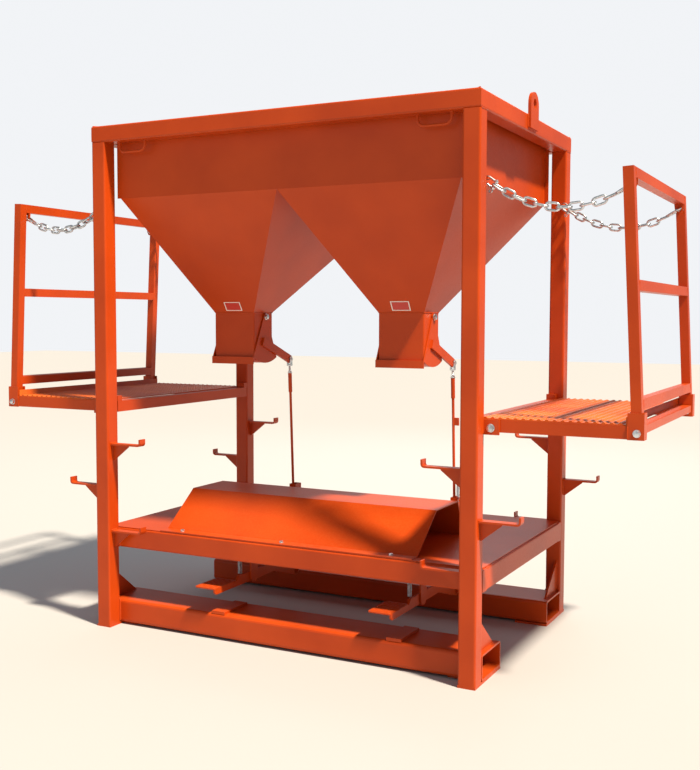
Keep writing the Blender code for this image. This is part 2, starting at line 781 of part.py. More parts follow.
def box_tube(low, high, wall, open_ends=""):
    """A box and the smaller box inside it; the inside runs out through the faces named in open_ends."""
    inner_low = [value + wall for value in low]
    inner_high = [value - wall for value in high]
    for letter in open_ends:
        index = "XYZ".index(letter.upper())
        if letter.isupper():
            inner_high[index] = high[index] + 0.01
        else:
            inner_low[index] = low[index] - 0.01
    return block(low, high), block(inner_low, inner_high)


def mirrored(sx, low, high):
    """The same box on either side of the frame."""
    if sx > 0:
        return low, high
    return (-high[0], low[1], low[2]), (-low[0], high[1], high[2])


def make_platforms():
    inside_x = inner_x + 0.0005
    for side, sx in (("left", -1), ("right", 1)):
        outers = []
        inners = []
        wall = platform_wall
        end = socket_x - socket_back
        for sy in (-1, 1):
            low_y, high_y = sorted((sy * platform_y, sy * (platform_y - platform_beam)))
            low, high = mirrored(sx, (inside_x, low_y, platform_bottom), (end, high_y, platform_top))
            outer, inner = box_tube(low, high, wall)
            outers.append(outer)
            inners.append(inner)
        across = platform_y - platform_beam
        low, high = mirrored(
            sx,
            (inside_x, -across - 0.001, platform_bottom),
            (inside_x + platform_beam, across + 0.001, platform_top),
        )
        outers.append(block(low, high))
        low = (low[0] + wall, -platform_y + wall + 0.001, platform_bottom + wall)
        high = (high[0] - wall, platform_y - wall - 0.001, platform_top - wall)
        inners.append(block(low, high))
        bar = [
            (socket_x - 0.026, platform_top - 0.030),
            (socket_x + 0.021, platform_top - 0.030),
            (socket_x + 0.021, platform_top),
            (socket_x - 0.026, platform_top),
        ]
        bar = [(sx * u, v) for u, v in bar]
        outers.append(prism([bar], "XZ", -socket_in + 0.0035, socket_in - 0.0035))
        holes = []
        for sy in (-1, 1):
            web_x = socket_x + rail_tube / 2 + 0.003
            for flange in (socket_y, socket_in + socket_sheet):
                low_y, high_y = sorted((sy * flange, sy * (flange - socket_sheet)))
                low, high = mirrored(
                    sx,
                    (end - socket_lap, low_y, platform_bottom - 0.002),
                    (web_x + socket_sheet, high_y, socket_top),
                )
                outers.append(block(low, high))
            low_y, high_y = sorted((sy * socket_y, sy * socket_in))
            low, high = mirrored(
                sx, (web_x, low_y, platform_bottom - 0.002), (web_x + socket_sheet, high_y, socket_top)
            )
            outers.append(block(low, high))
            span = sorted((sy * (socket_y + 0.008), sy * (socket_in - 0.004)))
            outers.append(round_bar("XZ", (sx * socket_x, socket_bolt_z), hinge_pin, *span))
            span = sorted((sy * (socket_y + 0.009), sy * (socket_y - 0.001)))
            outers.append(round_bar("XZ", (sx * socket_x, socket_bolt_z), 0.026, *span, steps=6))
            span = sorted((sy * (platform_y + 0.01), sy * (platform_y - platform_beam - 0.01)))
            holes.append(round_bar("XZ", (sx * hinge_x, hinge_z), hinge_pin + 0.001, *span))
        finish(f"platform_frame_{side}", outers, [*inners, *holes], origin=(sx * hinge_x, 0, hinge_z))


def make_planks():
    start = inner_x + 0.0005 + platform_beam + 0.004
    end = socket_x - socket_back - socket_lap - 0.002
    pitch = (end - start - 0.016) / rib_count
    top = platform_top + gap + plank_sheet
    for side, sx in (("left", -1), ("right", 1)):
        profile = [(start, platform_top + gap), (end, platform_top + gap), (end, top + toe_tall)]
        profile += [(end - plank_sheet, top + toe_tall), (end - plank_sheet, top)]
        for i in range(rib_count):
            mid = end - 0.010 - (i + 0.5) * pitch
            profile += [(mid + 0.006, top), (mid + 0.004, top + rib_tall)]
            profile += [(mid - 0.004, top + rib_tall), (mid - 0.006, top)]
        profile.append((start, top))
        outline = [(sx * u, v) for u, v in profile]
        plank = prism([outline], "XZ", -platform_y + 0.003, platform_y - 0.003)
        finish(f"platform_plank_{side}", [plank], origin=(sx * hinge_x, 0, hinge_z))


def make_rails():
    half = rail_tube / 2
    outside = rail_y
    low_z = -0.020
    for side, sx in (("left", -1), ("right", 1)):
        outers = []
        inners = []
        for sy in (-1, 1):
            low_y, high_y = sorted((sy * outside, sy * (outside - rail_tube)))
            outer, inner = box_tube((-half, low_y, low_z), (half, high_y, rail_height), rail_wall, "z")
            outers.append(outer)
            inners.append(inner)
        for level in (rail_height - half, rail_mid, rail_low):
            run = outside - rail_tube + 0.001
            outers.append(block((-half, -run, level - half), (half, run, level + half)))
            run = outside - rail_wall - 0.001
            thin = half - rail_wall - 0.0005
            inners.append(block((-thin, -run, level - thin), (thin, run, level + thin)))
        for sy in (-1, 1):
            edge = outside - rail_tube
            under = rail_height - rail_tube
            around = chain_hole / 2 + 0.006
            lug = [
                (-around - 0.004, under + 0.002),
                (-around - 0.002, under - rail_eye),
                (-around / 2, under - rail_eye - around),
                (around / 2, under - rail_eye - around),
                (around + 0.002, under - rail_eye),
                (around + 0.004, under + 0.002),
            ]
            hole = circle((0, under - rail_eye), chain_hole, 12)
            lug_y = sorted((sy * (edge - rail_eye_in - eye_thick / 2), sy * (edge - rail_eye_in + eye_thick / 2)))
            outers.append(prism([lug, hole], "XZ", *lug_y))
        span = (-outside - 0.01, outside + 0.01)
        bolt_way = round_bar("XZ", (0, 0), hinge_pin + 0.001, *span)
        rail = finish(f"guard_rail_{side}", outers, [*inners, bolt_way])
        rail.data.transform(Matrix.Rotation(-sx * rail_lean, 4, "Y"))
        rail.location = (sx * socket_x, 0, socket_bolt_z)


def make_chains():
    edge = platform_y - 0.0025 - rail_tube
    eye_high = rail_height - rail_tube - rail_eye
    for side, sx in (("left", -1), ("right", 1)):
        for row, sy in (("front", -1), ("rear", 1)):
            start = Vector((sx * (half_l - eye_back), sy * (inner_y - eye_in), eye_z))
            lean = Vector((-sx * math.sin(rail_lean), 0, math.cos(rail_lean))) * eye_high
            end = Vector((sx * socket_x, sy * (edge - rail_eye_in), socket_bolt_z)) + lean
            reach = chain_hole / 2 + 0.002
            up = Vector((0, 0, reach))
            aside = Vector((0, sy * reach, 0))
            path = [start - up, start + up, start + up + Vector((sx * 2 * reach, 0, -0.004))]
            for i in range(2, 15):
                t = i / 16
                place = start.lerp(end + aside, t)
                place.z -= chain_sag * 4 * t * (1 - t)
                path.append(place)
            path += [end + aside - Vector((sx * 2 * reach, 0, 0.012)), end + aside, end - aside]
            wire(f"chain_{row}_{side}", path, chain_thick, zinc, resolution=1)


def make_loops_and_lugs():
    y = -(half_d - post / 2)
    top = beam_under - gap
    bend = 0.030
    for side, sx in (("left", -1), ("right", 1)):
        mid = sx * loop_offset
        low = top - loop_drop
        half = loop_wide / 2
        path = [(mid - half, y, top)]
        path += [(u, y, v) for u, v in arc((mid - half + bend, low + bend), bend, math.pi, 1.5 * math.pi, 5)]
        path += [(u, y, v) for u, v in arc((mid + half - bend, low + bend), bend, 1.5 * math.pi, 2 * math.pi, 5)]
        path.append((mid + half, y, top))
        wire(f"grab_loop_{side}", path, loop_rod, red_paint, resolution=2)
        foot = beam_under + lug_foot
        shoulder = beam_under + lug_shoulder
        outline = [(lug_wide / 2, foot)] + arc((0, shoulder), lug_wide / 2, 0, math.pi, 12)
        outline.append((-lug_wide / 2, foot))
        hole = circle((0, shoulder + 0.006), lug_hole, 20)
        span = sorted((sx * (half_l + gap), sx * (half_l + gap + lug_thick)))
        finish(f"lifting_lug_{side}", [prism([outline, hole], "YZ", *span)])


make_fork_tubes()
make_posts()
make_top_ring()
make_deck()
make_cover()
make_hopper()
make_spouts()
make_gates()
make_rods()
make_guides()
make_pedals()
make_brackets()
make_springs()
make_platforms()
make_planks()
make_rails()
make_chains()
make_loops_and_lugs()

for side, sx in (("left", -1), ("right", 1)):
    hang(
        f"rod_pivot_{side}",
        (sx * spout_offset + lever_x, *arm_end),
        (f"rod_{side}", f"rod_fork_{side}"),
    )
    hang(
        f"platform_pivot_{side}",
        (sx * hinge_x, 0, hinge_z),
        (f"platform_frame_{side}", f"platform_plank_{side}", f"guard_rail_{side}"),
    )
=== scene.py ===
import math
import random

import bmesh
import bpy
from mathutils import Matrix, Vector, noise


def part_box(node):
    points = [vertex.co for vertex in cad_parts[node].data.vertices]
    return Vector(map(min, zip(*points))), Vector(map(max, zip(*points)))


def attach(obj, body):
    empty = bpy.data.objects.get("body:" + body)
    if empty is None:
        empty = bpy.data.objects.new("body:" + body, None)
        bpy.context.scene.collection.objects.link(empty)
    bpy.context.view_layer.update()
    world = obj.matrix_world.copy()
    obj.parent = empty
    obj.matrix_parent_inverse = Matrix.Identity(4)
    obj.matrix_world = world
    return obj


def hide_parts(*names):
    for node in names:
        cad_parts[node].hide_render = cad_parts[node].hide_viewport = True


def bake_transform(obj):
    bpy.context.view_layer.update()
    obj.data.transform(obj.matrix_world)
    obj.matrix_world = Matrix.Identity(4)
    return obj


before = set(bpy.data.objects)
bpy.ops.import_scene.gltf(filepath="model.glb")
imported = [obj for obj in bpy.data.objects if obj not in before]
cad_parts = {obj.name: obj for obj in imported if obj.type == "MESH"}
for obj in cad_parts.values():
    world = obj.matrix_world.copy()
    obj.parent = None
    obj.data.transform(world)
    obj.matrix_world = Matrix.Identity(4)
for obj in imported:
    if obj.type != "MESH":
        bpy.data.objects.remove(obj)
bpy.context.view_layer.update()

scene = bpy.context.scene
sides = (("left", -1), ("right", 1))
rows = (("front", -1), ("rear", 1))
print("frame loaded:", len(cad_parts), "CAD nodes")


def toLinear(hexColour):
    channels = [int(hexColour[i : i + 2], 16) / 255 for i in (1, 3, 5)]
    return (*[c / 12.92 if c <= 0.04045 else ((c + 0.055) / 1.055) ** 2.4 for c in channels], 1)


def addNode(tree, kind, settings=None, links=None):
    # a number or a socket name sets an input, any other word sets the node itself
    node = tree.nodes.new(kind)
    for key, value in (settings or {}).items():
        if isinstance(key, int) or key in node.inputs:
            node.inputs[key].default_value = value
        else:
            setattr(node, key, value)
    for key, source in (links or {}).items():
        tree.links.new(source, node.inputs[key])
    return node


def newMaterial(name, settings):
    material = bpy.data.materials.new(name)
    material.use_nodes = True
    tree = material.node_tree
    shader = tree.nodes["Principled BSDF"]
    for key, value in settings.items():
        shader.inputs[key].default_value = value
    place = addNode(tree, "ShaderNodeTexCoord").outputs["Object"]
    return material, tree, shader, place


def perMetre(millimetres):
    return 1000 / millimetres


# Camera
cameraSettings = {
    "place": (2.3442, -4.4506, 1.4611),
    "pitch": -3.69,
    "roll": 0.14,
    "yaw": 27.08,
    "lens": 49.11,
    "sensor": 36.0,
}
cameraData = bpy.data.cameras.new("viewCamera")
cameraData.lens = cameraSettings["lens"]
cameraData.sensor_fit = "VERTICAL"
cameraData.sensor_height = cameraSettings["sensor"]
camera = bpy.data.objects.new("viewCamera", cameraData)
camera.location = cameraSettings["place"]
turnUp = Matrix.Rotation(math.radians(90 + cameraSettings["pitch"]), 4, "X")
turnRound = Matrix.Rotation(math.radians(cameraSettings["yaw"]), 4, "Z")
turnOver = Matrix.Rotation(math.radians(cameraSettings["roll"]), 4, "Z")
camera.rotation_euler = (turnRound @ turnUp @ turnOver).to_euler()
scene.collection.objects.link(camera)
scene.camera = camera

# Machinery enamel, sprayed over welded mild steel: a wet gloss that breaks up into fine orange peel,
# a little darker in broad random clouds, dusty where it faces up
enamelValues = {
    "red": "#bf4510",
    "deepRed": "#ae3b0c",
    "dust": "#dc8c4e",
    "roughness": 0.33,
    "peelMillimetres": 3.0,
    "cloudMillimetres": 420.0,
    "gritMillimetres": 9.0,
    "peelDepth": 0.00006,
}


def sprayedEnamel(name, values, dusty=0.16):
    material, tree, shader, place = newMaterial(
        name, {"Roughness": values["roughness"], "Specular IOR Level": 0.24}
    )
    clouds = {"Scale": perMetre(values["cloudMillimetres"]), "Detail": 4}
    cloud = addNode(tree, "ShaderNodeTexNoise", clouds, {"Vector": place})
    cloudSpread = addNode(
        tree, "ShaderNodeMapRange", {"From Min": 0.35, "From Max": 0.65}, {"Value": cloud.outputs["Fac"]}
    )
    paintMix = addNode(
        tree,
        "ShaderNodeMix",
        {"data_type": "RGBA", 6: toLinear(values["red"]), 7: toLinear(values["deepRed"])},
        {0: cloudSpread.outputs["Result"]},
    )
    normal = addNode(tree, "ShaderNodeNewGeometry").outputs["Normal"]
    facing = addNode(tree, "ShaderNodeSeparateXYZ", None, {"Vector": normal})
    gritSettings = {"Scale": perMetre(values["gritMillimetres"]), "Detail": 6, "Roughness": 0.7}
    grit = addNode(tree, "ShaderNodeTexNoise", gritSettings, {"Vector": place})
    facingUp = {"From Min": 0.55, "From Max": 1.0}
    settled = addNode(tree, "ShaderNodeMapRange", facingUp, {"Value": facing.outputs["Z"]})
    specks = {"From Min": 0.42, "From Max": 0.72}
    speck = addNode(tree, "ShaderNodeMapRange", specks, {"Value": grit.outputs["Fac"]})
    dustAmount = addNode(
        tree,
        "ShaderNodeMath",
        {"operation": "MULTIPLY"},
        {0: settled.outputs["Result"], 1: speck.outputs["Result"]},
    )
    dustShare = addNode(
        tree, "ShaderNodeMath", {"operation": "MULTIPLY", 1: dusty}, {0: dustAmount.outputs["Value"]}
    )
    dustMix = addNode(
        tree,
        "ShaderNodeMix",
        {"data_type": "RGBA", 7: toLinear(values["dust"])},
        {0: dustShare.outputs["Value"], 6: paintMix.outputs[2]},
    )
    tree.links.new(dustMix.outputs[2], shader.inputs["Base Color"])
    sheen = addNode(
        tree,
        "ShaderNodeMapRange",
        {
            "From Min": 0.3,
            "From Max": 0.7,
            "To Min": values["roughness"] - 0.05,
            "To Max": values["roughness"] + 0.09,
        },
        {"Value": grit.outputs["Fac"]},
    )
    tree.links.new(sheen.outputs["Result"], shader.inputs["Roughness"])
    peels = {"Scale": perMetre(values["peelMillimetres"]), "Detail": 2}
    peel = addNode(tree, "ShaderNodeTexNoise", peels, {"Vector": place})
    peelBump = {"Strength": 0.35, "Distance": values["peelDepth"]}
    bump = addNode(tree, "ShaderNodeBump", peelBump, {"Height": peel.outputs["Fac"]})
    tree.links.new(bump.outputs["Normal"], shader.inputs["Normal"])
    return material


redEnamel = sprayedEnamel("sprayedRedEnamel", enamelValues)
plankEnamel = sprayedEnamel("walkwayEnamel", {**enamelValues, "red": "#d2651f", "roughness": 0.4}, dusty=0.3)

# Bright zinc plate over steel: cool grey, slightly cloudy from the plating bath, with a soft glint
zincValues = {"zinc": "#dfe5ea", "dullZinc": "#aab4bb", "roughness": 0.22, "cloudMillimetres": 14.0}
brightZinc, zincTree, zincShader, zincPlace = newMaterial("brightZincPlate", {"Metallic": 1.0})
zincClouds = {"Scale": perMetre(zincValues["cloudMillimetres"]), "Detail": 5}
zincCloud = addNode(zincTree, "ShaderNodeTexNoise", zincClouds, {"Vector": zincPlace})
zincEdges = {"From Min": 0.38, "From Max": 0.68}
zincSpread = addNode(zincTree, "ShaderNodeMapRange", zincEdges, {"Value": zincCloud.outputs["Fac"]})
zincMix = addNode(
    zincTree,
    "ShaderNodeMix",
    {"data_type": "RGBA", 6: toLinear(zincValues["zinc"]), 7: toLinear(zincValues["dullZinc"])},
    {0: zincSpread.outputs["Result"]},
)
zincTree.links.new(zincMix.outputs[2], zincShader.inputs["Base Color"])
zincGloss = {"To Min": zincValues["roughness"], "To Max": 0.42}
zincSheen = addNode(zincTree, "ShaderNodeMapRange", zincGloss, {"Value": zincCloud.outputs["Fac"]})
zincTree.links.new(zincSheen.outputs["Result"], zincShader.inputs["Roughness"])

# Calendered vinyl label, printed in flat colour and left blank: a faint pebble in its gloss
vinylValues = {"white": "#e9e6e0", "band": "#c02a1a", "roughness": 0.3, "pebbleMillimetres": 1.2}


def printedVinyl(name, colour):
    settings = {"Roughness": vinylValues["roughness"], "Coat Weight": 0.3}
    material, tree, shader, place = newMaterial(name, settings)
    pebbles = {"Scale": perMetre(vinylValues["pebbleMillimetres"]), "Detail": 2}
    pebble = addNode(tree, "ShaderNodeTexNoise", pebbles, {"Vector": place})
    tone = addNode(
        tree,
        "ShaderNodeMix",
        {"data_type": "RGBA", 6: toLinear(colour), 7: tuple(c * 0.9 for c in toLinear(colour)[:3]) + (1,)},
        {0: pebble.outputs["Fac"]},
    )
    tree.links.new(tone.outputs[2], shader.inputs["Base Color"])
    faint = {"Strength": 0.1, "Distance": 0.00003}
    bump = addNode(tree, "ShaderNodeBump", faint, {"Height": pebble.outputs["Fac"]})
    tree.links.new(bump.outputs["Normal"], shader.inputs["Normal"])
    return material


whiteVinyl = printedVinyl("whiteVinylLabel", vinylValues["white"])
redVinyl = printedVinyl("redVinylLabel", vinylValues["band"])

# Painted studio floor: matt pale grey, a roller's faint stipple
floorValues = {"pale": "#b4b7bb", "darker": "#afb2b6", "roughness": 0.7, "stippleMillimetres": 6.0}
floorPaint, floorTree, floorShader, floorPlace = newMaterial("mattFloorPaint", {"Roughness": floorValues["roughness"]})
stipples = {"Scale": perMetre(floorValues["stippleMillimetres"]), "Detail": 3}
stipple = addNode(floorTree, "ShaderNodeTexNoise", stipples, {"Vector": floorPlace})
floorMix = addNode(
    floorTree,
    "ShaderNodeMix",
    {"data_type": "RGBA", 6: toLinear(floorValues["pale"]), 7: toLinear(floorValues["darker"])},
    {0: stipple.outputs["Fac"]},
)
floorTree.links.new(floorMix.outputs[2], floorShader.inputs["Base Color"])
print("materials made")

# The CAD nodes: smooth round corners, a small broken edge, and the real finish
edgeValues = {"angle": 35, "width": 0.0012, "segments": 2}
smoothTree = bpy.data.node_groups.new("smoothByAngle", "GeometryNodeTree")
smoothTree.interface.new_socket("Geometry", in_out="INPUT", socket_type="NodeSocketGeometry")
smoothTree.interface.new_socket("Geometry", in_out="OUTPUT", socket_type="NodeSocketGeometry")
smoothIn = smoothTree.nodes.new("NodeGroupInput")
smoothOut = smoothTree.nodes.new("NodeGroupOutput")
edgeAngle = smoothTree.nodes.new("GeometryNodeInputMeshEdgeAngle")
isFlat = addNode(
    smoothTree,
    "FunctionNodeCompare",
    {"data_type": "FLOAT", "operation": "LESS_THAN", 1: math.radians(edgeValues["angle"])},
    {0: edgeAngle.outputs[0]},
)
smoothFaces = addNode(smoothTree, "GeometryNodeSetShadeSmooth", {"domain": "FACE"}, {0: smoothIn.outputs[0]})
smoothEdges = addNode(
    smoothTree,
    "GeometryNodeSetShadeSmooth",
    {"domain": "EDGE"},
    {0: smoothFaces.outputs[0], 2: isFlat.outputs[0]},
)
smoothTree.links.new(smoothEdges.outputs[0], smoothOut.inputs[0])


def breakEdges(piece, width=edgeValues["width"]):
    bevel = piece.modifiers.new("brokenEdge", "BEVEL")
    bevel.width = width
    bevel.segments = edgeValues["segments"]
    bevel.limit_method = "ANGLE"
    bevel.angle_limit = math.radians(edgeValues["angle"])
    bevel.use_clamp_overlap = True
    bevel.harden_normals = False
    smooth = piece.modifiers.new("smoothByAngle", "NODES")
    smooth.node_group = smoothTree


zincNodes = ("rod_fork_left", "rod_fork_right")
for nodeName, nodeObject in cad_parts.items():
    nodeObject.data.materials.clear()
    nodeObject.data.materials.append(brightZinc if nodeName in zincNodes else redEnamel)
    if not nodeName.startswith(("chain_", "pedal_spring", "rod_spring", "platform_plank")):
        breakEdges(nodeObject)
print("CAD nodes finished")


def addPiece(name, solid, material, body, smoothAngle=40):
    # turns a bmesh into a piece that rides on a body
    mesh = bpy.data.meshes.new(name)
    bmesh.ops.recalc_face_normals(solid, faces=solid.faces)
    solid.to_mesh(mesh)
    solid.free()
    mesh.materials.append(material)
    mesh.shade_smooth()
    mesh.set_sharp_from_angle(angle=math.radians(smoothAngle))
    piece = bpy.data.objects.new(name, mesh)
    scene.collection.objects.link(piece)
    if body:
        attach(piece, body)
    return piece


def sweep(solid, path, section, closed=False):
    # pulls a section (points across the path) along a path without twisting
    # section may be a function of the step
    count = len(path)
    rings = []
    across = None
    for i, here in enumerate(path):
        before = path[i - 1] if i > 0 or closed else here
        after = path[(i + 1) % count] if i < count - 1 or closed else here
        along = (after - before).normalized()
        if across is None:
            across = along.orthogonal().normalized()
        across = (across - along * across.dot(along)).normalized()
        other = along.cross(across)
        outline = section(i) if callable(section) else section
        rings.append([solid.verts.new(here + across * u + other * v) for u, v in outline])
    pairs = count if closed else count - 1
    for i in range(pairs):
        first = rings[i]
        second = rings[(i + 1) % count]
        shift = 0
        if closed and i == count - 1:
            around = range(len(first))
            shift = min(
                around,
                key=lambda k: sum((first[j].co - second[(j + k) % len(first)].co).length for j in around),
            )
        for j in range(len(first)):
            k = (j + 1) % len(first)
            nextVert, thisVert = second[(k + shift) % len(first)], second[(j + shift) % len(first)]
            solid.faces.new((first[j], first[k], nextVert, thisVert))
    if not closed:
        solid.faces.new(rings[0][::-1])
        solid.faces.new(rings[-1])


def ring(radius, count=10):
    angles = [2 * math.pi * i / count for i in range(count)]
    return [(radius * math.cos(angle), radius * math.sin(angle)) for angle in angles]


def addLathe(solid, centre, axis, profile, count=24):
    # turns a profile of (distance along the axis, radius) about the axis
    along = Vector(axis).normalized()
    across = along.orthogonal().normalized()
    other = along.cross(across)
    rings = []
    for distance, radius in profile:
        middle = Vector(centre) + along * distance
        loop = []
        for i in range(count):
            angle = 2 * math.pi * i / count
            outward = across * math.cos(angle) + other * math.sin(angle)
            loop.append(solid.verts.new(middle + outward * radius))
        rings.append(loop)
    for first, second in zip(rings, rings[1:]):
        for i in range(count):
            k = (i + 1) % count
            solid.faces.new((first[i], first[k], second[k], second[i]))
    solid.faces.new(rings[0][::-1])
    solid.faces.new(rings[-1])


# Bolts: washer, chamfered hex head with a domed top
boltValues = {"across": 0.024, "headTall": 0.010, "washerThick": 0.0025}


def addBolt(solid, seat, axis, across=boltValues["across"], tall=boltValues["headTall"], turn=0.3):
    along = Vector(axis).normalized()
    washer = boltValues["washerThick"]
    addLathe(
        solid,
        seat,
        along,
        [(0, across * 0.66), (washer * 0.75, across * 0.66), (washer, across * 0.62), (washer, across * 0.2)],
    )
    across1 = along.orthogonal().normalized()
    across1 = Matrix.Rotation(turn, 3, along) @ across1
    other = along.cross(across1)
    corner = across / math.sqrt(3)
    shares = ((0.82, 1.0), (0.94, 0.93), (1, 0.80))
    levels = [(washer * 0.9, 1.0)] + [(washer + tall * up, share) for up, share in shares]
    rings = []
    for distance, share in levels:
        loop = []
        for i in range(24):
            angle = 2 * math.pi * i / 24
            flat = corner * math.cos(math.pi / 6) / math.cos((angle % (math.pi / 3)) - math.pi / 6)
            radius = min(flat, corner * share) if share < 1 else flat
            outward = across1 * math.cos(angle) + other * math.sin(angle)
            loop.append(solid.verts.new(Vector(seat) + along * distance + outward * radius))
        rings.append(loop)
    for first, second in zip(rings, rings[1:]):
        for i in range(24):
            k = (i + 1) % 24
            solid.faces.new((first[i], first[k], second[k], second[i]))
    solid.faces.new(rings[0][::-1])
    solid.faces.new(rings[-1])


def nodeBox(name):
    low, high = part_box(name)
    return Vector(low), Vector(high)


# Bolts on the frame: hinge bolts on the posts, gate pivots, cover bolts
frameBolts = bmesh.new()
hopperCentre = 0.4364
hingeX, hingeZ = 0.975, 1.031
leafFace = 0.5675
pivotY, pivotZ = -0.132, 1.463
socketX, socketZ = 1.536, 1.037
coverBoltPlaces = (-0.53, 0.0, 0.53)
for side, sx in sides:
    for row, sy in rows:
        seat = (sx * hingeX, sy * (leafFace + 0.0005), hingeZ)
        addBolt(frameBolts, seat, (0, sy, 0), across=0.026, tall=0.011)
    spoutLow, spoutHigh = nodeBox(f"spout_{side}")
    for way, face in ((-1, spoutLow.x), (1, spoutHigh.x)):
        addBolt(frameBolts, (face - way * 0.0080, pivotY, pivotZ), (way, 0, 0), across=0.0225, tall=0.0085)
coverLow, coverHigh = nodeBox("linkage_cover")
for x in coverBoltPlaces:
    addBolt(frameBolts, (x, coverLow.y + 0.028, coverLow.z + 0.004), (0, 0, 1), across=0.016, tall=0.007)
    addBolt(frameBolts, (x, coverHigh.y - 0.016, coverLow.z + 0.004), (0, 0, 1), across=0.016, tall=0.007)
addPiece("frameBolts", frameBolts, brightZinc, "frame")

for side, sx in sides:
    bolts = bmesh.new()
    for row, sy in rows:
        addBolt(bolts, (sx * socketX, sy * 0.5605, socketZ), (0, sy, 0), across=0.0225, tall=0.0085, turn=0.7)
        addBolt(bolts, (sx * hingeX, sy * 0.4985, hingeZ), (0, -sy, 0), across=0.022, tall=0.010)
        addBolt(bolts, (sx * socketX, sy * 0.5095, socketZ), (0, -sy, 0), across=0.022, tall=0.007)
    addPiece(f"platformBolts_{side}", bolts, brightZinc, f"platform_{side}")
print("bolts made")

# Chains: straight-link chain with a bow shackle at the post and a snap hook at the rail
chainValues = {
    "wire": 0.0100,
    "linkWidth": 0.0385,
    "links": 11,
    "sag": 0.095,
    "postEye": (0.934, 0.5385, 2.0),
    "railEye": (1.488, 0.493, 1.9517),
}


def linkPath(centre, along, flat, length, width, steps=8):
    # one stadium-shaped loop: along is its long way, flat the direction of its width
    half = width / 2
    straight = length / 2 - half
    points = []
    for way in (1, -1):
        for i in range(steps + 1):
            angle = -math.pi / 2 + math.pi * i / steps
            u = way * (straight + half * math.cos(angle))
            v = way * half * math.sin(angle)
            points.append(centre + along * u + flat * v)
    return points


def hangingLine(start, end, sag, count=200):
    points = []
    for i in range(count + 1):
        t = i / count
        here = start.lerp(end, t)
        here.z -= sag * 4 * t * (1 - t)
        points.append(here)
    return points


def walkAlong(points, distance):
    for first, second in zip(points, points[1:]):
        step = (second - first).length
        if distance <= step:
            return first + (second - first) * (distance / step), (second - first).normalized()
        distance -= step
    return points[-1], (points[-1] - points[-2]).normalized()


for side, sx in sides:
    for row, sy in rows:
        mirror = Vector((sx, sy, 1))
        postEye = Vector(chainValues["postEye"]) * mirror
        railEye = Vector(chainValues["railEye"]) * mirror
        line = hangingLine(postEye, railEye, chainValues["sag"])
        total = sum((b - a).length for a, b in zip(line, line[1:]))
        wire = chainValues["wire"]
        shackleReach = 0.044
        hookReach = 0.062
        pitch = (total - shackleReach - hookReach) / chainValues["links"]
        chain = bmesh.new()
        rng = random.Random(7 * (sx + 2) + sy)
        for i in range(chainValues["links"]):
            centre, along = walkAlong(line, shackleReach + pitch * (i + 0.5))
            level = Vector((0, 1, 0)) - along * along.y
            level.normalize()
            flat = Matrix.Rotation(math.radians(90 * (i % 2) + 8 + rng.uniform(-7, 7)), 3, along) @ level
            sweep(
                chain,
                linkPath(centre, along, flat, pitch + wire * 1.02, chainValues["linkWidth"] - wire),
                ring(wire / 2, 10),
                closed=True,
            )
        # bow shackle: its closed end stands in the lug's hole, its pin holds the first link
        pinPlace, along = walkAlong(line, shackleReach)
        upright = Vector((0, 1, 0)).cross(along).normalized()
        gapHalf = 0.0135
        bow = [pinPlace + upright * gapHalf + along * 0.004]
        bow.append(postEye + upright * gapHalf + along * 0.010)
        for i in range(1, 8):
            angle = math.pi * i / 8
            reach = 0.010 - gapHalf * math.sin(angle)
            bow.append(postEye + along * reach + upright * gapHalf * math.cos(angle))
        bow.append(postEye - upright * gapHalf + along * 0.010)
        bow.append(pinPlace - upright * gapHalf + along * 0.004)
        sweep(chain, bow, ring(0.0046, 10))
        for way in (-1, 1):
            boss = pinPlace + upright * way * (gapHalf - 0.0045)
            bossProfile = [(0, 0.0078), (0.0012, 0.0086), (0.0078, 0.0086), (0.009, 0.0078)]
            addLathe(chain, boss, upright * way, bossProfile, 16)
        addLathe(
            chain,
            pinPlace - upright * (gapHalf + 0.009),
            upright,
            [(0, 0.0035), (0.001, 0.0042), (2 * gapHalf + 0.016, 0.0042), (2 * gapHalf + 0.017, 0.0035)],
            12,
        )
        tab = pinPlace + upright * (gapHalf + 0.014)
        tabAngles = [2 * math.pi * i / 14 for i in range(14)]
        tabPath = [tab + along * 0.006 * math.cos(angle) + upright * 0.007 * math.sin(angle) for angle in tabAngles]
        sweep(chain, tabPath, ring(0.0022, 8), closed=True)
        # snap hook through the rail's lug
        tailPlace, alongEnd = walkAlong(line, total - hookReach)
        toEye = (railEye - tailPlace).normalized()
        cross = Vector((0, 1, 0)) - toEye * toEye.y
        cross.normalize()
        middle = (tailPlace + railEye) / 2
        hookLoop = []
        for point in linkPath(middle, toEye, cross, (railEye - tailPlace).length + 0.016, 0.034, 12):
            share = (point - tailPlace).dot(toEye) / (railEye - tailPlace).length
            offset = point - middle
            spread = 0.62 + 0.5 * share
            hookLoop.append(middle + offset.dot(toEye) * toEye + offset.dot(cross) * cross * spread)
        sweep(chain, hookLoop, ring(0.0052, 10), closed=True)
        gateStart = middle - toEye * 0.016 - cross * 0.0125
        addLathe(
            chain,
            gateStart,
            (toEye * 0.034 - cross * 0.003).normalized(),
            [(0, 0.0048), (0.001, 0.0060), (0.012, 0.0060), (0.013, 0.0050), (0.034, 0.0048)],
            12,
        )
        piece = addPiece(f"chainLinks_{row}_{side}", chain, brightZinc, None)
        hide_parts(f"chain_{row}_{side}")
        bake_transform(piece)
print("chains made")

# Springs: close-wound coils with a hook at each end
springValues = {"wire": 0.0028, "coil": 0.0085, "pitch": 0.0036}


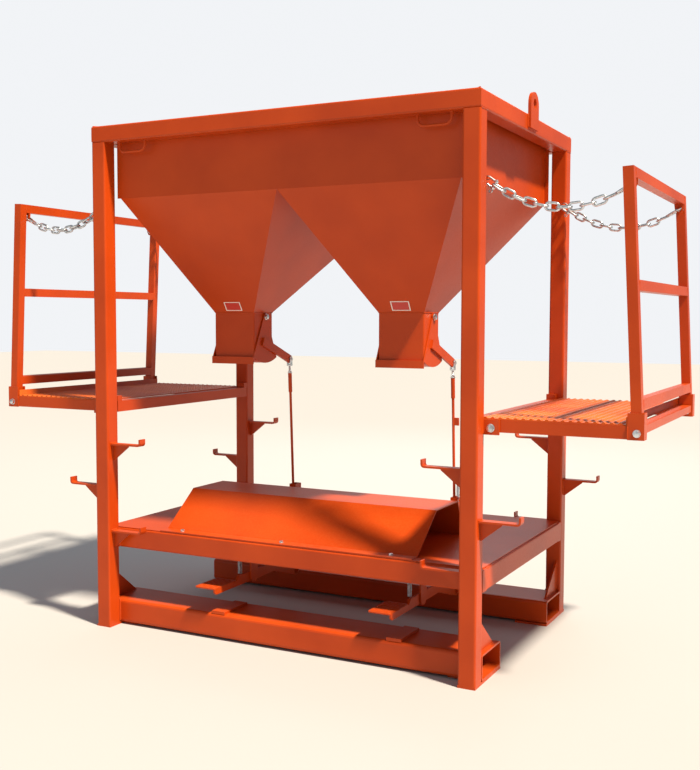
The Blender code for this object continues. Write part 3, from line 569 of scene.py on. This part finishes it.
def addSpring(solid, x, y, low, high, peg=0.004):
    wire = springValues["wire"]
    eye = peg + wire / 2 + 0.0008
    foot = low + eye * 2 + 0.004
    head = high - eye * 2 - 0.004
    turns = int((head - foot) / springValues["pitch"])
    path = []
    for i in range(14):
        angle = math.radians(-230 + 300 * i / 13)
        path.append(Vector((x, y + eye * math.cos(angle), low + eye * math.sin(angle))))
    for i in range(turns * 12 + 1):
        angle = 2 * math.pi * i / 12
        level = foot + (head - foot) * i / (turns * 12)
        coilX = x + springValues["coil"] * math.sin(angle)
        coilY = y + springValues["coil"] * math.cos(angle)
        path.append(Vector((coilX, coilY, level)))
    for i in range(14):
        angle = math.radians(-70 + 300 * i / 13)
        path.append(Vector((x, y + eye * math.cos(angle), high + eye * math.sin(angle))))
    sweep(solid, path, ring(wire / 2, 6))


for side, sx in sides:
    bracketLow, bracketHigh = nodeBox(f"pedal_spring_{side}")
    springX = (bracketLow.x + bracketHigh.x) / 2
    coil = bmesh.new()
    addSpring(coil, springX, -0.335, 0.236, 0.415)
    piece = addPiece(f"returnSpring_{side}", coil, brightZinc, None)
    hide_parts(f"pedal_spring_{side}")
    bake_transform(piece)
rodSpringLow, rodSpringHigh = nodeBox("rod_spring_right")
coil = bmesh.new()
addSpring(coil, (rodSpringLow.x + rodSpringHigh.x) / 2, (rodSpringLow.y + rodSpringHigh.y) / 2, 0.608, 0.744)
piece = addPiece("rodSpring_right", coil, brightZinc, "frame")
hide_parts("rod_spring_right")
print("springs made")

# Platform planks: one rolled sheet, ribs with serrated crests, a raised toe lip
plankValues = {
    "ribs": 18,
    "ribTall": 0.0055,
    "toothMillimetres": 22.0,
    "samples": 200,
    "sheet": 0.004,
    "toe": 0.028,
}
ribProfile = ((0.0085, 0), (0.0060, 0.55), (0.0030, 0.95), (0, 1.0), (-0.0030, 0.95), (-0.0060, 0.55), (-0.0085, 0))
for side, sx in sides:
    low, high = nodeBox(f"platform_plank_{side}")
    inner = low.x if sx > 0 else -high.x
    outer = high.x if sx > 0 else -low.x
    base = low.z
    top = base + plankValues["sheet"]
    pitch = (outer - inner - 0.016) / plankValues["ribs"]
    solid = bmesh.new()
    stations = []
    for i in range(plankValues["ribs"]):
        middle = outer - 0.010 - (i + 0.5) * pitch
        for offset, share in ribProfile:
            stations.append((middle + offset, share))
    stations.append((inner, 0))
    samples = plankValues["samples"]
    grid = []
    for j in range(samples + 1):
        y = low.y + (high.y - low.y) * j / samples
        wave = 0.5 + 0.5 * math.cos(2 * math.pi * (y - low.y) * 1000 / plankValues["toothMillimetres"])
        crest = plankValues["ribTall"] * (0.45 + 0.55 * wave)
        rowVerts = [
            solid.verts.new((sx * outer, y, base)),
            solid.verts.new((sx * outer, y, top + plankValues["toe"] - 0.001)),
            solid.verts.new((sx * (outer - 0.001), y, top + plankValues["toe"])),
            solid.verts.new((sx * (outer - 0.003), y, top + plankValues["toe"])),
            solid.verts.new((sx * (outer - 0.004), y, top + plankValues["toe"] - 0.001)),
            solid.verts.new((sx * (outer - 0.004), y, top + 0.002)),
            solid.verts.new((sx * (outer - 0.006), y, top)),
        ]
        rowVerts += [solid.verts.new((sx * x, y, top + crest * share)) for x, share in stations]
        rowVerts.append(solid.verts.new((sx * inner, y, base)))
        grid.append(rowVerts)
    for first, second in zip(grid, grid[1:]):
        for k in range(len(first)):
            m = (k + 1) % len(first)
            solid.faces.new((first[k], first[m], second[m], second[k]))
    solid.faces.new(grid[0][::-1])
    solid.faces.new(grid[-1])
    piece = addPiece(f"walkwayPlank_{side}", solid, plankEnamel, f"platform_{side}", smoothAngle=50)
    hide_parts(f"platform_plank_{side}")
print("planks made")

# Pedal treads: raised tears in alternate directions
treadValues = {"tearLong": 0.017, "tearWide": 0.0055, "tearTall": 0.0016, "spacing": 0.0165}
for side, sx in sides:
    low, high = nodeBox(f"pedal_{side}")
    treadTop = 0.242
    treadLow = Vector((low.x, low.y + 0.001, treadTop))
    treadHigh = Vector((low.x + 0.110, low.y + 0.181, treadTop))
    solid = bmesh.new()
    space = treadValues["spacing"]
    columns = int((treadHigh.x - treadLow.x - 0.008) / space)
    linesCount = int((treadHigh.y - treadLow.y - 0.010) / space)
    for i in range(columns):
        for j in range(linesCount):
            x = treadLow.x + (treadHigh.x - treadLow.x - (columns - 1) * space) / 2 + i * space
            y = treadLow.y + (treadHigh.y - treadLow.y - (linesCount - 1) * space) / 2 + j * space
            angle = math.radians(45 if (i + j) % 2 else -45)
            along = Vector((math.cos(angle), math.sin(angle), 0))
            across = Vector((-along.y, along.x, 0))
            rimVerts = []
            crestVerts = []
            for k in range(12):
                turn = 2 * math.pi * k / 12
                u = math.cos(turn) * treadValues["tearLong"] / 2
                v = math.sin(turn) * treadValues["tearWide"] / 2 * (1 - 0.35 * math.cos(turn))
                here = Vector((x, y, treadTop - 0.0003))
                rimVerts.append(solid.verts.new(here + along * u + across * v))
                crest = here + (along * u + across * v) * 0.55 + Vector((0, 0, treadValues["tearTall"]))
                crestVerts.append(solid.verts.new(crest))
            for k in range(12):
                m = (k + 1) % 12
                solid.faces.new((rimVerts[k], rimVerts[m], crestVerts[m], crestVerts[k]))
            solid.faces.new(crestVerts)
            solid.faces.new(rimVerts[::-1])
    addPiece(f"treadPattern_{side}", solid, redEnamel, f"pedal_{side}", smoothAngle=60)
print("treads made")

# Weld beads: stacked ripples a few millimetres long, laid into the corners
weldValues = {"leg": 0.0042, "ripple": 0.0038}
weldSolid = {}
hookY = 0.597
hookLevels = ((0.862, -1), (0.662, 1), (0.452, -1))  # underside, and inward or outward from the post


def addWeld(body, start, end, leg=weldValues["leg"], seed=1):
    solid = weldSolid.setdefault(body, bmesh.new())
    start, end = Vector(start), Vector(end)
    length = (end - start).length
    steps = max(4, int(length / (weldValues["ripple"] / 2)))
    steps = min(steps, 320)
    path = []
    sizes = []
    for i in range(steps + 1):
        t = i / steps
        here = start.lerp(end, t)
        wobble = noise.noise(here * 90 + Vector((seed, 0, 0))) * 0.22
        ripple = 0.10 * (1 if i % 2 else -1)
        fade = min(1.0, 0.55 + 9 * min(t, 1 - t))
        path.append(here)
        sizes.append(leg * (1 + wobble + ripple) * fade)
    sweep(solid, path, lambda i: ring(sizes[i], 7))


for side, sx in sides:
    for row, sy in rows:
        outX, inX = sx * 0.947, sx * 0.872
        outY, inY = sy * 0.6345, sy * 0.5595
        ringZ, ringTop = 2.258, 2.3335
        seed = (sx + 3) * 5 + sy
        # mitre of the top ring: across the top
        mitreEnd = (outX - sx * 0.004, outY - sy * 0.004, ringTop)
        addWeld("frame", (inX, inY, ringTop), mitreEnd, leg=0.0026, seed=seed)
        # post under the ring, its front face ground flush
        ringStart, ringEnd = (outX, outY - sy * 0.006, ringZ), (outX, inY + sy * 0.006, ringZ)
        addWeld("frame", ringStart, ringEnd, leg=0.0024, seed=seed + 2)
        # deck beam against the post
        addWeld("frame", (inX, inY, 0.374), (outX - sx * 0.002, inY, 0.374), leg=0.0040, seed=seed + 3)
        addWeld("frame", (inX, inY, 0.374), (inX, inY, 0.460), leg=0.0042, seed=seed + 4)
        # fork tube against the post and on its foot plate
        addWeld("frame", (inX, inY, 0.014), (inX, inY, 0.117), leg=0.0045, seed=seed + 5)
        addWeld("frame", (inX, inY, 0.1195), (outX - sx * 0.004, inY, 0.1195), leg=0.0040, seed=seed + 6)
        # gusset
        braceX = sx * (0.947 - 0.022)
        for way in (-1, 1):
            face = braceX + way * 0.0045
            uprightY, footY = inY - sy * 0.001, inY - sy * 0.004
            addWeld("frame", (face, uprightY, 0.125), (face, uprightY, 0.268), leg=0.0030, seed=seed + 8)
            addWeld("frame", (face, footY, 0.1200), (face, sy * 0.378, 0.1200), leg=0.0030, seed=seed + 9)
        # hinge leaf
        addWeld("frame", (outX, sy * 0.5590, 1.006), (outX, sy * 0.5590, 1.062), leg=0.0026, seed=seed + 10)
        # hooks
        for under, way in hookLevels:
            face = outX if way > 0 else inX
            for z in (under - 0.001, under + 0.009):
                addWeld("frame", (face, sy * 0.579, z), (face, sy * 0.615, z), leg=0.0034, seed=seed + 11)
            for edge in (-0.004, 0.004):
                webY = sy * hookY + edge
                addWeld("frame", (face, webY, under - 0.004), (face, webY, under - 0.068), leg=0.0028)
    centre = sx * hopperCentre
    # lifting lug on the ring
    lugLow, lugHigh = nodeBox(f"lifting_lug_{side}")
    face = sx * 0.9475
    for y in (lugLow.y, lugHigh.y):
        addWeld("frame", (face, y, lugLow.z + 0.002), (face, y, 2.331), leg=0.0042, seed=seed + 12)
    addWeld("frame", (face, lugLow.y, lugLow.z), (face, lugHigh.y, lugLow.z), leg=0.0040, seed=seed + 13)
    # grab loops
    loopLow, loopHigh = nodeBox(f"grab_loop_{side}")
    for x in (loopLow.x + 0.006, loopHigh.x - 0.006):
        for k in range(6):
            a, b = 2 * math.pi * k / 6, 2 * math.pi * (k + 1) / 6
            addWeld(
                "frame",
                (x + 0.007 * math.cos(a), -0.597 + 0.007 * math.sin(a), 2.2570),
                (x + 0.007 * math.cos(b), -0.597 + 0.007 * math.sin(b), 2.2570),
                leg=0.0024,
            )
    # spout under the hopper
    spoutLow, spoutHigh = nodeBox(f"spout_{side}")
    x0, x1 = centre - 0.110, centre + 0.110
    y0, y1 = -0.227, -0.061
    for a, b in (((x0, y0), (x1, y0)), ((x1, y0), (x1, y1)), ((x1, y1), (x0, y1)), ((x0, y1), (x0, y0))):
        addWeld("frame", (*a, 1.4815), (*b, 1.4815), leg=0.0026, seed=seed + 14)
    # rails on their stanchions, and the lugs under the top rail
    lean = math.radians(3)
    for level in (0.958, 0.5445, 0.106):
        for row, sy in rows:
            railX = socketX - math.sin(lean) * level
            middle = Vector((sx * railX, sy * 0.5145, socketZ + math.cos(lean) * level))
            for dx, dz in ((-0.019, 0), (0.019, 0)):
                a = middle + Vector((dx, 0, -0.018))
                b = middle + Vector((dx, 0, 0.018))
                addWeld(f"platform_{side}", a, b, leg=0.0022, seed=seed + 15)
            under = middle + Vector((0, 0, -0.0205))
            across = Vector((0.018, 0, 0))
            addWeld(f"platform_{side}", under - across, under + across, leg=0.0024)
    for row, sy in rows:
        for x, y, leg in ((0.9225, 0.5075, 0.0028), (1.5015, 0.5600, 0.0024)):
            addWeld(f"platform_{side}", (sx * x, sy * y, 1.016), (sx * x, sy * y, 1.062), leg=leg)
for body, solid in weldSolid.items():
    addPiece(f"weldBeads_{body}", solid, redEnamel, body, smoothAngle=70)
print("welds made")

# Blank labels on the front of each hopper, just above the spouts: a red field in a white border
labelValues = {"wide": 0.090, "tall": 0.048, "thick": 0.0004, "above": 0.011, "border": 0.08, "aside": 0.005}
for side, sx in sides:
    centre = sx * hopperCentre
    slopeStart = Vector((centre, -0.227, 1.4815))
    slopeEnd = Vector((centre, -0.5592, 2.007))
    upSlope = (slopeEnd - slopeStart).normalized()
    right = Vector((1, 0, 0))
    out = upSlope.cross(right).normalized()
    if out.y > 0:
        out = -out
    edge = labelValues["border"]
    base = slopeStart + upSlope * labelValues["above"] + out * 0.0002 + right * labelValues["aside"]
    for part, (u0, u1, v0, v1, lift, material) in {
        "Film": (-0.5, 0.5, 0.0, 1.0, 0.0, whiteVinyl),
        "Field": (-0.5 + 0.7 * edge, 0.5 - 0.7 * edge, edge, 1 - edge, 0.0003, redVinyl),
    }.items():
        solid = bmesh.new()
        corners = []
        for u, v in ((u0, v0), (u1, v0), (u1, v1), (u0, v1)):
            onSlope = right * u * labelValues["wide"] + upSlope * v * labelValues["tall"]
            corners.append(base + onSlope + out * lift)
        lower = [solid.verts.new(c) for c in corners]
        upper = [solid.verts.new(c + out * labelValues["thick"]) for c in corners]
        solid.faces.new(lower[::-1])
        solid.faces.new(upper)
        for k in range(4):
            m = (k + 1) % 4
            solid.faces.new((lower[k], lower[m], upper[m], upper[k]))
        addPiece(f"label{part}_{side}", solid, material, "frame")
print("labels made")

# Lock nuts on the rods, under each zinc fork
nutValues = {"across": 0.017, "tall": 0.008}
for side, sx in sides:
    forkLow, forkHigh = nodeBox(f"rod_fork_{side}")
    top = Vector(((forkLow.x + forkHigh.x) / 2, 0.085, 1.252))
    foot = Vector((top.x, 0.145, 0.170))
    along = (top - foot).normalized()
    solid = bmesh.new()
    seat = top - along * 0.0695
    addBolt(solid, seat, along, across=nutValues["across"], tall=nutValues["tall"])
    for k in range(9):
        place = top - along * (0.036 + k * 0.0025)
        addLathe(solid, place, along, [(0, 0.0050), (0.0008, 0.0056), (0.0016, 0.0050)], 14)
    addPiece(f"lockNut_{side}", solid, brightZinc, f"rod_{side}")
print("nuts made")

# Floor and light
floorMesh = bmesh.new()
bmesh.ops.create_grid(floorMesh, x_segments=8, y_segments=8, size=30)
floorData = bpy.data.meshes.new("studioFloor")
floorMesh.to_mesh(floorData)
floorMesh.free()
floorData.materials.append(floorPaint)
studioFloor = bpy.data.objects.new("studioFloor", floorData)
scene.collection.objects.link(studioFloor)

lightValues = {
    "sky": 0.34,
    "backdrop": 0.97,
    "skyColour": "#f5f7fa",
    "sun": {"towards": (0.50, -0.15, 0.85), "strength": 7.6, "spread": 4.5, "colour": "#ffedd2"},
    "fill": {"place": (-2.5, -7.5, 3.6), "size": 5.0, "power": 40, "colour": "#fff4ea"},
    "back": {"place": (-1.5, 6.5, 5.0), "size": 4.0, "power": 90, "colour": "#ffffff"},
}
world = bpy.data.worlds.new("studioWorld")
world.use_nodes = True
worldTree = world.node_tree
worldTree.nodes["Background"].inputs["Color"].default_value = toLinear(lightValues["skyColour"])
seen = addNode(worldTree, "ShaderNodeLightPath").outputs["Is Camera Ray"]
skyRange = {"To Min": lightValues["sky"], "To Max": lightValues["backdrop"]}
strength = addNode(worldTree, "ShaderNodeMapRange", skyRange, {"Value": seen})
worldTree.links.new(strength.outputs["Result"], worldTree.nodes["Background"].inputs["Strength"])
scene.world = world
aim = Vector((0, 0, 1.1))
sunValues = lightValues["sun"]
sunData = bpy.data.lights.new("sun", "SUN")
sunData.energy = sunValues["strength"]
sunData.angle = math.radians(sunValues["spread"])
sunData.color = toLinear(sunValues["colour"])[:3]
sun = bpy.data.objects.new("sun", sunData)
sun.rotation_euler = Vector(sunValues["towards"]).to_track_quat("Z", "Y").to_euler()
scene.collection.objects.link(sun)
for lightName in ("fill", "back"):
    values = lightValues[lightName]
    lightData = bpy.data.lights.new(lightName, "AREA")
    lightData.size = values["size"]
    lightData.energy = values["power"]
    lightData.color = toLinear(values["colour"])[:3]
    lamp = bpy.data.objects.new(lightName, lightData)
    lamp.location = values["place"]
    lamp.rotation_euler = (aim - Vector(values["place"])).to_track_quat("-Z", "Y").to_euler()
    scene.collection.objects.link(lamp)
scene.view_settings.view_transform = "Standard"
print("stage set")
